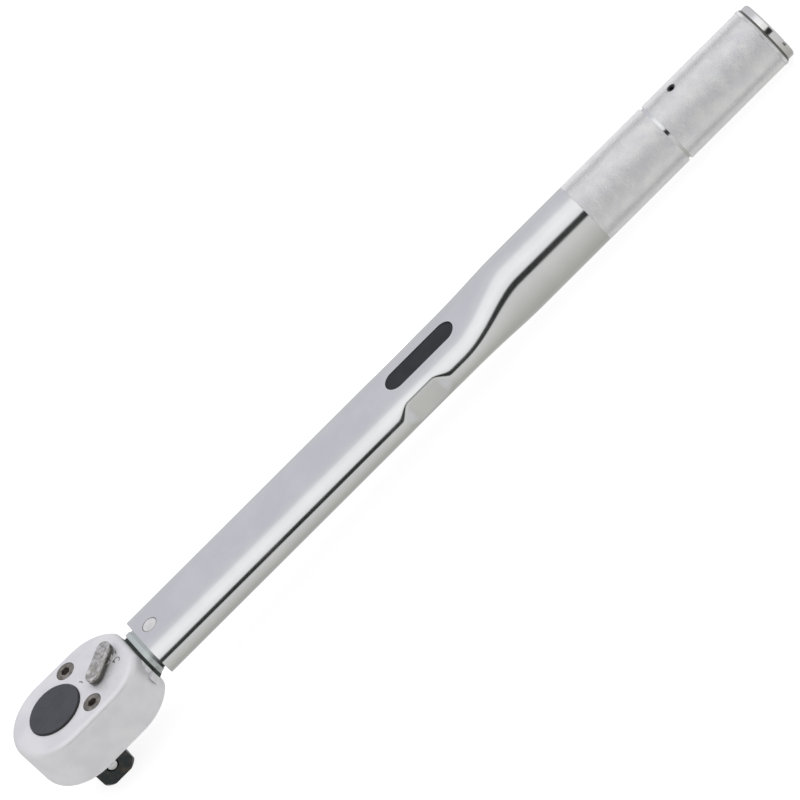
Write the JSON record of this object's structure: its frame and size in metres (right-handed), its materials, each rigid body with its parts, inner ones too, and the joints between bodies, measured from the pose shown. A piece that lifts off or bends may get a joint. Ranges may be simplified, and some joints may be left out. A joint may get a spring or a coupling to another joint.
{
  "type": "torque wrench",
  "caption": "Click torque wrench: reversible ratchet head with a square drive on a flattened chromed tube that ends in a round knurled grip.",
  "frame": {"origin": "centre of the square drive's end face", "axes": "+Z along the drive axis towards the head's top, +X along the tube towards the grip"},
  "size_m": [0.3359, 0.0354, 0.0372],
  "materials": {
    "tube_chrome": "polished chrome plate, satin knurl at the grip",
    "head_chrome": "satin pearl chrome",
    "lever_chrome": "bright chrome",
    "black_oxide": "black oxide",
    "dark_cap": "smooth dark slate",
    "black_plastic": "satin black",
    "plain_steel": "ground steel",
    "bearing_steel": "polished",
    "spring_steel": "oil-tempered",
    "bush_bronze": "turned",
    "rubber": "matt"
  },
  "bodies": {
    "tube_body": {"tube": "tube_chrome", "head_pin": "plain_steel", "window_plug": "black_plastic", "threaded_bush": "plain_steel", "lock_screw": "black_oxide", "main_spring": "spring_steel"},
    "head": {"head_housing": "head_chrome", "pivot_bush": "bush_bronze", "bottom_plate": "plain_steel", "gear_washer": "bearing_steel", "pawl_screws": "black_oxide", "left_pawl_spring": "spring_steel", "right_pawl_spring": "spring_steel", "lever_detent_ball": "bearing_steel", "lever_detent_spring": "spring_steel"},
    "drive": {"ratchet_gear": "black_oxide", "drive_cap": "dark_cap", "drive_ball_spring": "spring_steel"},
    "detent_ball": {"drive_ball": "bearing_steel"},
    "pawl_left": {"left_pawl": "plain_steel"},
    "pawl_right": {"right_pawl": "plain_steel"},
    "reverser": {"reverse_lever": "lever_chrome", "reverse_cam": "plain_steel"},
    "toggle": {"toggle_block": "bearing_steel"},
    "plunger": {"slider": "plain_steel", "push_rod": "plain_steel", "spring_washer": "bearing_steel"},
    "spring_seat": {"rear_spring_seat": "plain_steel", "thrust_ball": "bearing_steel"},
    "adjuster": {"adjusting_screw": "plain_steel"},
    "cap_seal": {"end_cap_o_ring": "rubber"},
    "cap": {"end_cap": "lever_chrome"}
  },
  "joints": [
    {"name": "head_click", "type": "hinge", "parent": "tube_body", "child": "head", "pos_m": [0.0409, 0, 0.0247], "axis": [0, 0, 1], "range_deg": [0, 2], "stiffness_Nm_per_rad": 20},
    {"name": "slider_back", "type": "slide", "parent": "tube_body", "child": "plunger", "axis": [1, 0, 0], "range_m": [0, 0.00204], "deforming": ["main_spring"]},
    {"name": "toggle_tilt", "type": "hinge", "parent": "plunger", "child": "toggle", "pos_m": [0.1301, 0.0024, 0.0247], "axis": [0, 0, 1], "range_deg": [-19.5, 0]},
    {"name": "drive_turn", "type": "hinge", "parent": "head", "child": "drive", "pos_m": [0, 0, 0], "axis": [0, 0, 1], "continuous": true},
    {"name": "drive_ball_press", "type": "slide", "parent": "drive", "child": "detent_ball", "axis": [0, 1, 0], "range_m": [0, 0.001], "stiffness_N_per_m": 200, "deforming": ["drive_ball_spring"]},
    {"name": "reverse_select", "type": "hinge", "parent": "head", "child": "reverser", "pos_m": [0.0228, 0, 0.034], "axis": [0, 0, 1], "range_deg": [-73.4, 0]},
    {"name": "left_pawl_swing", "type": "hinge", "parent": "head", "child": "pawl_left", "pos_m": [0.0107, 0.01105, 0.0235], "axis": [0, 0, 1], "range_deg": [0, 12.1], "deforming": ["left_pawl_spring"]},
    {"name": "right_pawl_swing", "type": "hinge", "parent": "head", "child": "pawl_right", "pos_m": [0.0107, -0.01105, 0.0235], "axis": [0, 0, 1], "range_deg": [0, 12.1], "deforming": ["right_pawl_spring"]},
    {"name": "seat_slide", "type": "slide", "parent": "tube_body", "child": "spring_seat", "axis": [1, 0, 0], "range_m": [-0.005, 0.005]},
    {"name": "adjust_turn", "type": "hinge", "parent": "spring_seat", "child": "adjuster", "pos_m": [0.28, 0, 0.0247], "axis": [1, 0, 0], "range_deg": [-1442, 1442]},
    {"name": "cap_out", "type": "slide", "parent": "tube_body", "child": "cap_seal", "axis": [1, 0, 0], "range_m": [0, 0.0135]},
    {"name": "cap_unscrew", "type": "hinge", "parent": "cap_seal", "child": "cap", "pos_m": [0.31, 0, 0.0247], "axis": [1, 0, 0], "range_deg": [0, 3244]}
  ],
  "couplings": [
    {"joint": "toggle_tilt", "follows": "head_click", "ratio": -9.6905},
    {"joint": "slider_back", "follows": "head_click", "m_per_rad": 0.058},
    {"joint": "left_pawl_swing", "follows": "reverse_select", "ratio": -0.16349},
    {"joint": "right_pawl_swing", "follows": "reverse_select", "ratio": -0.16349},
    {"joint": "adjust_turn", "follows": "seat_slide", "rad_per_m": 5026.6},
    {"joint": "cap_unscrew", "follows": "cap_out", "rad_per_m": 4188.8}
  ]
}
